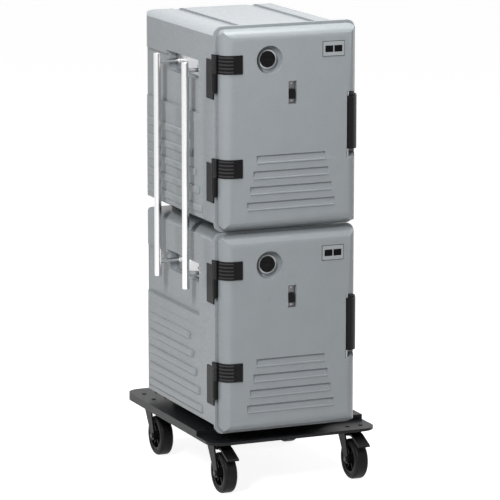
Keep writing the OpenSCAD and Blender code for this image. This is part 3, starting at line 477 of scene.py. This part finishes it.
@dataclass
class Carrier:
    """One insulated tray carrier with its hinged door. Lengths are in metres."""

    level: str
    shell_round: float = 1.6 * MM
    keeper_round: float = 0.5 * MM
    latch_round: float = 1.4 * MM

    # Ribs of the side walls, from the lowest up. Each starts further back than the one under it.
    rib_count: int = 5
    rib_top: float = 84.5 * MM
    rib_pitch: float = 52.7 * MM
    rib_height: float = 23 * MM
    rib_start: float = 100.5 * MM
    rib_step: float = 25.5 * MM
    rib_back: float = 50 * MM
    rib_out: float = 3.5 * MM
    rib_in: float = 6 * MM
    rib_round: float = 5 * MM

    # Louvres of the door, from the lowest and longest up, and the lip under each
    louvre_count: int = 4
    louvre_top: float = 110 * MM
    louvre_pitch: float = 46.7 * MM
    louvre_height: float = 25 * MM
    louvre_length: float = 224 * MM
    louvre_grow: float = 20.6 * MM
    lip_rise: float = 2.2 * MM
    lip_in: float = 2 * MM
    lip_height: float = 5 * MM
    lip_round: float = 1.2 * MM

    # Hinge leaves and their screws
    door_leaf_round: float = 0.5 * MM
    body_leaf_round: float = 0.7 * MM
    leaf_height: float = 56 * MM
    screw_apart: float = 13 * MM
    screw_round: float = 0.8 * MM
    head_height: float = 1.2 * MM
    shank_radius: float = 2 * MM
    socket_radius: float = 1.8 * MM
    socket_mouth: float = 0.2 * MM
    socket_floor: float = 2.2 * MM

    # Rings round the hinge barrels
    ring_count: int = 10
    ring_pitch: float = 5.4 * MM
    ring_first: float = 0.65
    ring_inner: float = 5.6 * MM
    ring_outer: float = 7.1 * MM
    ring_half: float = 1.3 * MM
    ring_chamfer: float = 0.4 * MM

    # Ridges round the bend of the door leaves
    ridge_count: int = 5
    ridge_first: float = 6.5 * MM
    ridge_pitch: float = 10.8 * MM
    ridge_half: float = 2.1 * MM
    ridge_rise: float = 0.6 * MM
    bend_in: float = 50.5 * MM
    bend_radius: float = 38 * MM
    bend_start_deg: float = 184.0
    bend_sweep_deg: float = 82.0
    bend_steps: int = 14

    # Vent knob: a dished disc on a stem, with a grip across it and marks over and under the grip
    vent_ring_round: float = 0.6 * MM
    knob_round: float = 1.5 * MM
    knob_depth: float = 11.6 * MM
    stem_radius: float = 6 * MM
    dish_in: float = 5 * MM
    dish_depth: float = 4.2 * MM
    dish_round: float = 1 * MM
    grip_width: float = 9 * MM
    grip_short: float = 0.5 * MM
    grip_front: float = 0.3 * MM
    grip_back: float = 6 * MM
    grip_round: float = 1 * MM
    mark_degs: tuple[int, ...] = (30, 50, 70, 90, 110, 130, 150)
    mark_in: float = 4 * MM
    mark_half: float = 0.8 * MM
    mark_front: float = 3.2 * MM
    mark_back: float = 5 * MM
    mark_round: float = 0.2 * MM

    # Sprung clip, its plate, and the plate's screws as radius and distance behind the plate's face
    clip_round: float = 0.8 * MM
    clip_plate_t: float = 1.2 * MM
    clip_plate_round: float = 0.15 * MM
    clip_screw_in: float = 8 * MM
    clip_screw: tuple[tuple[float, float], ...] = (
        (0, -0.9 * MM), (1.2 * MM, -0.8 * MM), (2.4 * MM, -0.5 * MM), (2.8 * MM, 0), (0, 0.3 * MM)
    )

    # Label plate, its two windows and the dark rim behind it
    label_round: float = 0.3 * MM
    label_rim: float = 1.3 * MM
    rim_front: float = 0.8 * MM
    rim_back: float = 0.4 * MM
    rim_round: float = 0.2 * MM
    window_gap: float = 1.7 * MM
    window_width: float = 26 * MM
    window_height: float = 20 * MM
    window_rise: float = 11.5 * MM
    window_out: float = 0.1 * MM
    window_t: float = 0.9 * MM
    window_round: float = 0.25 * MM

    def name(self, part: str) -> str:
        """Returns the CAD node's name for one of this carrier's parts."""
        return f"{self.level}_{part}"

    def build(self) -> None:
        """Builds and dresses the whole carrier."""
        self.body()
        self.door()
        self.hinges()
        self.vent()
        self.clip()
        self.label()
        self.latch()

    def body(self) -> None:
        """Dresses the body shell, its foam, gasket and keeper."""
        soften(self.name("body_shell"), SHELL, self.shell_round)
        dress(self.name("body_foam"), FOAM)
        dress(self.name("gasket"), SEAL)
        soften(self.name("latch_keeper"), BLACK, self.keeper_round)
        self.ribs()
        LOG.info("%s body", self.level)

    def ribs(self) -> None:
        """Makes the moulded ribs on both side walls, each with full round edges."""
        node = self.name("body_shell")
        low, high = node_box(node)
        work = bmesh.new()
        for row in range(self.rib_count):
            top = low.z + self.rib_top + row * self.rib_pitch
            start = low.y + self.rib_start + row * self.rib_step
            for wall, inward in ((low.x, 1), (high.x, -1)):
                left, right = sorted((wall - inward * self.rib_out, wall + inward * self.rib_in))
                corner = Vector((left, start, top - self.rib_height))
                add_block(work, corner, Vector((right, high.y - self.rib_back, top)), self.rib_round)
        mesh_piece(f"{node}_ribs", work, SHELL, BODY_OF[node], SOFT_DEG)

    def door(self) -> None:
        """Dresses the door shell and its foam."""
        soften(self.name("door_shell"), SHELL, self.shell_round)
        dress(self.name("door_foam"), FOAM)
        self.louvre_lips()
        LOG.info("%s door", self.level)

    def louvre_lips(self) -> None:
        """Makes the rolled lip along the lower edge of each louvre."""
        node = self.name("door_shell")
        low, high = node_box(node)
        foot = node_box(self.name("body_shell"))[0].z
        middle, work = (low.x + high.x) / 2, bmesh.new()
        for row in range(self.louvre_count):
            top = foot + self.louvre_top + row * self.louvre_pitch
            half = (self.louvre_length + (self.louvre_count - 1 - row) * self.louvre_grow) / 2
            base = Vector((middle - half, low.y - self.lip_rise, top - self.louvre_height))
            size = Vector((2 * half, self.lip_rise + self.lip_in, self.lip_height))
            add_block(work, base, base + size, self.lip_round)
        mesh_piece(f"{node}_louvre_lips", work, SHELL, BODY_OF[node], SOFT_DEG)

    def hinges(self) -> None:
        """Dresses the hinge leaves and pins, and makes the screws with their sockets."""
        soften(self.name("hinge_door_leaves"), BLACK, self.door_leaf_round)
        soften(self.name("hinge_body_leaves"), BLACK, self.body_leaf_round)
        dress(self.name("hinge_pins"), ZINC)
        self.barrel_rings()
        self.leaf_ridges()
        node = self.name("door_screws")
        low, high = node_box(node)
        radius, length = (high.x - low.x) / 2, high.y - low.y
        profile = [(0, self.socket_floor), (self.socket_radius, self.socket_floor)]
        profile += [(self.socket_radius, self.socket_mouth)]
        profile += arc(radius - self.screw_round, self.screw_round, self.screw_round, 270, 360)
        profile += [(radius, self.head_height), (self.shank_radius, self.head_height)]
        profile += [(self.shank_radius, length), (0, length)]
        work = bmesh.new()
        for z in self.screw_heights():
            add_mesh(work, spun(profile, Vector(((low.x + high.x) / 2, low.y, z)), Y, 24))
        piece = mesh_piece(f"{node}_finished", work, BLACK, BODY_OF[node])
        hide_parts(node)
        LOG.info("%s hinges", self.level)

    def leaf_feet(self) -> tuple[float, float]:
        """Returns the heights of the lower ends of the two door leaves."""
        low, high = node_box(self.name("hinge_door_leaves"))
        return low.z, high.z - self.leaf_height

    def screw_heights(self) -> list[float]:
        """Returns the heights of the leaf screws, a pair about the middle of each door leaf."""
        centres = (foot + self.leaf_height / 2 for foot in self.leaf_feet())
        return [c + s * self.screw_apart for c in centres for s in (-1, 1)]

    def barrel_rings(self) -> None:
        """Makes the rings round the hinge barrels."""
        node = self.name("hinge_door_leaves")
        pin_low, pin_high = node_box(self.name("hinge_pins"))
        axis_x, axis_y = (pin_low.x + pin_high.x) / 2, (pin_low.y + pin_high.y) / 2
        half, shoulder = self.ring_half, self.ring_outer - self.ring_chamfer
        neck = half - self.ring_chamfer
        profile = [(self.ring_inner, -half), (shoulder, -half), (self.ring_outer, -neck)]
        profile += [(self.ring_outer, neck), (shoulder, half), (self.ring_inner, half)]
        rings = bmesh.new()
        for foot in self.leaf_feet():
            for row in range(self.ring_count):
                z = foot + (row + self.ring_first) * self.ring_pitch
                add_mesh(rings, spun(profile, Vector((axis_x, axis_y, z)), Z, 28))
        # The paler black on the rings is a painted highlight.
        mesh_piece(f"{node}_rings", rings, PALE_BLACK_AND_HIGHLIGHT, BODY_OF[node])

    def leaf_ridges(self) -> None:
        """Makes the ridges that follow the door leaves round the door's edge."""
        node = self.name("hinge_door_leaves")
        low = node_box(node)[0]
        ridges = bmesh.new()
        for foot in self.leaf_feet():
            for row in range(self.ridge_count):
                z = foot + self.ridge_first + row * self.ridge_pitch
                self.bent_ridge(ridges, Vector((low.x + self.bend_in, low.y + self.bend_radius, z)))
        bmesh.ops.recalc_face_normals(ridges, faces=ridges.faces)
        # The paler black on the ridges is a painted highlight.
        mesh_piece(f"{node}_ridges", ridges, PALE_BLACK_AND_HIGHLIGHT, BODY_OF[node])

    def bent_ridge(self, work: bmesh.types.BMesh, centre: Vector) -> None:
        """Adds one ridge, its flat end spun round the middle of the leaf's bend.

        Args:
            work: The mesh that gets the ridge.
            centre: The middle of the leaf's bend, at the ridge's own height.
        """
        start = math.radians(self.bend_start_deg)
        out = Vector((math.cos(start), math.sin(start), 0))
        inner = centre + out * (self.bend_radius - self.ridge_rise)
        outer = centre + out * (self.bend_radius + self.ridge_rise)
        rise = Z * self.ridge_half
        corners = (inner - rise, outer - rise, outer + rise, inner + rise)
        end = work.faces.new([work.verts.new(corner) for corner in corners])
        bmesh.ops.spin(work, geom=[*end.verts, *end.edges, end], cent=centre, axis=Z,
                       angle=math.radians(self.bend_sweep_deg), steps=self.bend_steps)

    def vent(self) -> None:
        """Makes the vent knob with its grip, and dresses the ring round it."""
        soften(self.name("vent_ring"), RING, self.vent_ring_round)
        node = self.name("vent_knob")
        low, high = node_box(node)
        centre = Vector(((low.x + high.x) / 2, low.y, (low.z + high.z) / 2))
        radius, total = (high.x - low.x) / 2, high.y - low.y
        dish, turn = radius - self.dish_in, self.dish_round
        profile = [(0, self.dish_depth), (dish - turn, self.dish_depth)]
        profile += arc(dish - turn, self.dish_depth - turn, turn, 90, 0, 3)
        profile += arc(dish + turn, turn, turn, 180, 270, 3)
        profile += arc(radius - self.knob_round, self.knob_round, self.knob_round, 270, 360, 4)
        profile += [(radius, self.knob_depth), (self.stem_radius, self.knob_depth)]
        profile += [(self.stem_radius, total), (0, total)]
        work = spun(profile, centre, Y, 64)
        half = Vector((dish - self.grip_short, 0, self.grip_width / 2))
        front, back = Y * self.grip_front, Y * self.grip_back
        add_block(work, centre - half + front, centre + half + back, self.grip_round)
        span = Vector((self.mark_half, 0, self.mark_half))
        front, back = Y * self.mark_front, Y * self.mark_back
        for angle in map(math.radians, self.mark_degs):
            for side in (-1, 1):
                mark = centre + Vector((math.cos(angle), 0, side * math.sin(angle))) * (dish - self.mark_in)
                add_block(work, mark - span + front, mark + span + back, self.mark_round)
        piece = mesh_piece(f"{node}_finished", work, BLACK, BODY_OF[node])
        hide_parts(node)
        LOG.info("%s vent", self.level)

    def clip(self) -> None:
        """Dresses the sprung clip and its plate, and adds the plate's screws."""
        plate = self.name("clip_plate")
        # The clip plate gets the darkened steel, which paints the recess's shade onto it.
        soften(plate, CLIP_STEEL_PAINTED_SHADE, self.clip_plate_round)
        soften(self.name("menu_clip"), BLACK, self.clip_round)
        low, high = node_box(plate)
        middle, face = (low.x + high.x) / 2, high.y - self.clip_plate_t
        work = bmesh.new()
        for z in (low.z + self.clip_screw_in, high.z - self.clip_screw_in):
            add_mesh(work, spun(list(self.clip_screw), Vector((middle, face, z)), Y, 20))
        mesh_piece(f"{plate}_screws", work, ZINC, BODY_OF[plate])
        LOG.info("%s menu clip", self.level)

    def label(self) -> None:
        """Dresses the label plate, fills its two windows and puts a dark rim behind it."""
        node = self.name("label_plate")
        soften(node, LABEL, self.label_round)
        low, high = node_box(node)
        middle = (low.x + high.x) / 2
        window = Vector((self.window_width, self.window_t, self.window_height))
        work = bmesh.new()
        for x in (middle - self.window_gap - self.window_width, middle + self.window_gap):
            corner = Vector((x, low.y - self.window_out, low.z + self.window_rise))
            add_block(work, corner, corner + window, self.window_round)
        rim = Vector((self.label_rim, 0, self.label_rim))
        add_block(work, low - rim + Y * self.rim_front, high + rim + Y * self.rim_back, self.rim_round)
        mesh_piece(f"{node}_windows", work, WINDOW, BODY_OF[node])
        LOG.info("%s label", self.level)

    def latch(self) -> None:
        """Dresses the latch lever and its pin."""
        soften(self.name("latch_lever"), BLACK, self.latch_round, 3)
        dress(self.name("latch_pin"), ZINC)
        LOG.info("%s latch", self.level)


@dataclass
class Handle:
    """The push handle: two upright bars on four standoffs and two plates."""

    end_round: float = 2.0 * MM
    standoff_round: float = 0.4 * MM
    plate_round: float = 0.3 * MM
    bars: tuple[str, ...] = ("front_handle_bar", "rear_handle_bar")
    plates: tuple[str, ...] = ("upper_handle_plate", "lower_handle_plate")

    def build(self) -> None:
        """Dresses the bars, the standoffs and the plates."""
        for bar in self.bars:
            soften(bar, STEEL, self.end_round, 3)
        soften("handle_standoffs", PLATE, self.standoff_round)
        for plate in self.plates:
            soften(plate, PLATE, self.plate_round)
        LOG.info("handle")


@dataclass
class Dolly:
    """The deck with what holds the casters to it."""

    deck_round: float = 2.4 * MM
    fitting_round: float = 0.5 * MM

    def build(self) -> None:
        """Dresses the deck, the bolts and the mounting plates."""
        soften("dolly_deck", DECK, self.deck_round, 3)
        soften("deck_bolts", BLACK, self.fitting_round)
        soften("caster_plates", BLACK, self.fitting_round)
        LOG.info("dolly")


@dataclass
class Caster:
    """One swivel caster."""

    place: str
    braked: bool
    fork_round: float = 0.8 * MM
    hub_round: float = 0.7 * MM
    axle_round: float = 0.5 * MM
    pedal_round: float = 0.9 * MM
    tread_round: float = 9 * MM
    bead: float = 1.5 * MM
    groove_depth: float = 0.8 * MM
    groove_half: float = 1 * MM

    def build(self) -> None:
        """Builds the wheel and dresses the fork, the axle and the pedal."""
        soften(f"{self.place}_fork", BLACK, self.fork_round)
        soften(f"{self.place}_hub", BLACK, self.hub_round)
        soften(f"{self.place}_axle", PALE_BLACK_AND_HIGHLIGHT, self.axle_round)
        if self.braked:
            soften(f"{self.place}_pedal", BLACK, self.pedal_round)
        self.tyre()
        LOG.info("%s caster", self.place)

    def tyre(self) -> None:
        """Spins the tyre, with a crowned tread and a groove by each shoulder."""
        node = f"{self.place}_tyre"
        low, high = node_box(node)
        centre, radius = (low + high) / 2, (high.z - low.z) / 2
        half, inner = (high.x - low.x) / 2, node_box(f"{self.place}_hub")[1].z - centre.z
        turn, shoulder = self.tread_round, radius - self.tread_round
        profile = [(inner, -half + self.bead), (inner + self.bead, -half)]
        profile += [(shoulder - 2 * self.groove_half, -half)]
        profile += [(shoulder - self.groove_half, -half + self.groove_depth), (shoulder, -half)]
        profile += arc(shoulder, -half + turn, turn, -90, 0, 7)
        profile += [(r, -h) for r, h in reversed(profile)]
        work = spun(profile, centre, X, 72)
        piece = mesh_piece(f"{node}_finished", work, RUBBER, BODY_OF[node])
        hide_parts(node)


@dataclass
class Studio:
    """The camera, the floor and the soft lights."""

    camera_place: tuple[float, float, float] = (-4.2696, -9.9245, 2.7660)
    camera_turn_deg: float = 23.324
    camera_tilt_deg: float = 10.925
    lens_mm: float = 255.5
    sensor_mm: float = 36.0
    floor_half: float = 60.0
    floor_grey: float = 0.50
    floor_glow: float = 0.90
    world_light: float = 0.10
    lamp_aim: tuple[float, float, float] = (0, 0, 0.75)
    white_rays: tuple[str, ...] = ("Camera", "Glossy", "Transmission")
    lamps: tuple[tuple[str, tuple[float, float, float], tuple[float, float], float], ...] = (
        ("overhead", (0.1, -0.5, 3.7), (1.8, 1.8), 92.0),
        ("left_key", (-2.9, -3.0, 3.3), (0.35, 1.8), 172.0),
        ("left_strip", (-3.4, -1.5, 2.2), (0.45, 2.4), 3.0),
        ("front_soft", (1.8, -4.2, 3.4), (1.5, 1.5), 8.0),
        ("right_edge", (3.2, 0.2, 1.8), (0.8, 2.6), 22.0),
    )

    def build(self) -> None:
        """Builds the studio."""
        self.camera()
        self.floor()
        self.world()
        for name, place, size, power in self.lamps:
            self.lamp(name, Vector(place), size, power)

    def camera(self) -> None:
        """Sets the camera at the photograph's viewing angle."""
        data = bpy.data.cameras.new("camera")
        data.lens, data.sensor_width, data.clip_end = self.lens_mm, self.sensor_mm, 200.0
        camera = bpy.data.objects.new("camera", data)
        camera.location = self.camera_place
        tilt, turn = math.radians(90 - self.camera_tilt_deg), math.radians(-self.camera_turn_deg)
        camera.rotation_euler = (tilt, 0, turn)
        bpy.context.scene.collection.objects.link(camera)
        bpy.context.scene.camera = camera

    def floor(self) -> None:
        """Makes the pale floor, which shows white and keeps the cart's shadow."""
        work = bmesh.new()
        bmesh.ops.create_grid(work, x_segments=1, y_segments=1, size=self.floor_half)
        mesh = bpy.data.meshes.new("floor")
        work.to_mesh(mesh)
        work.free()
        floor = bpy.data.objects.new("floor", mesh)
        bpy.context.scene.collection.objects.link(floor)
        material = bpy.data.materials.new("pale_floor")
        material.use_nodes = True
        tree = material.node_tree
        shader = tree.nodes["Principled BSDF"]
        shader.inputs["Base Color"].default_value = (*[self.floor_grey] * 3, 1.0)
        shader.inputs["Roughness"].default_value = 0.9
        shader.inputs["Specular IOR Level"].default_value = 0.1
        ray = tree.nodes.new("ShaderNodeLightPath")
        glow = tree.nodes.new("ShaderNodeMath")
        glow.operation = "MULTIPLY"
        glow.inputs[1].default_value = self.floor_glow
        direct = self.any_of(tree, [ray.outputs[f"Is {kind} Ray"] for kind in self.white_rays])
        tree.links.new(direct, glow.inputs[0])
        shader.inputs["Emission Color"].default_value = (1.0, 1.0, 1.0, 1.0)
        tree.links.new(glow.outputs[0], shader.inputs["Emission Strength"])
        mesh.materials.append(material)

    @staticmethod
    def any_of(tree: bpy.types.NodeTree, rays: list[bpy.types.NodeSocket]) -> bpy.types.NodeSocket:
        """Returns a socket that is 1 where any of the ray sockets is 1.

        Args:
            tree: The tree that gets the nodes.
            rays: The ray sockets of a Light Path node.

        Returns:
            The joined socket.
        """
        joined = rays[0]
        for ray in rays[1:]:
            larger = tree.nodes.new("ShaderNodeMath")
            larger.operation = "MAXIMUM"
            tree.links.new(joined, larger.inputs[0])
            tree.links.new(ray, larger.inputs[1])
            joined = larger.outputs[0]
        return joined

    def world(self) -> None:
        """Makes the surroundings: soft grey light that shows white to the camera and in reflections."""
        world = bpy.data.worlds.new("studio")
        world.use_nodes = True
        bpy.context.scene.world = world
        tree = world.node_tree
        back = tree.nodes["Background"]
        back.inputs["Color"].default_value = (1.0, 1.0, 1.0, 1.0)
        ray = tree.nodes.new("ShaderNodeLightPath")
        direct = self.any_of(tree, [ray.outputs[f"Is {kind} Ray"] for kind in self.white_rays])
        strength = tree.nodes.new("ShaderNodeMapRange")
        strength.inputs["To Min"].default_value = self.world_light
        strength.inputs["To Max"].default_value = 1.0
        tree.links.new(direct, strength.inputs["Value"])
        tree.links.new(strength.outputs["Result"], back.inputs["Strength"])

    def lamp(self, name: str, place: Vector, size: tuple[float, float], power: float) -> None:
        """Hangs one soft lamp that faces the middle of the cart.

        Args:
            name: The lamp's name.
            place: Where it hangs.
            size: Its width and height.
            power: Its power in watts.
        """
        data = bpy.data.lights.new(name, "AREA")
        data.shape, data.size, data.size_y, data.energy = "RECTANGLE", size[0], size[1], power
        lamp = bpy.data.objects.new(name, data)
        lamp.location = place
        lamp.rotation_euler = (Vector(self.lamp_aim) - place).to_track_quat("-Z", "Y").to_euler()
        bpy.context.scene.collection.objects.link(lamp)


def main() -> None:
    """Builds the studio and every part of the cart."""
    logging.basicConfig(level=logging.INFO)
    bpy.context.scene.view_settings.view_transform = "Standard"
    grain_group()
    grime_group()
    Studio().build()
    for level in ("lower", "upper"):
        Carrier(level).build()
    Handle().build()
    Dolly().build()
    for place in ("front_left", "front_right", "rear_left", "rear_right"):
        Caster(place, braked=place.startswith("front")).build()


if __name__ == "__main__":
    main()
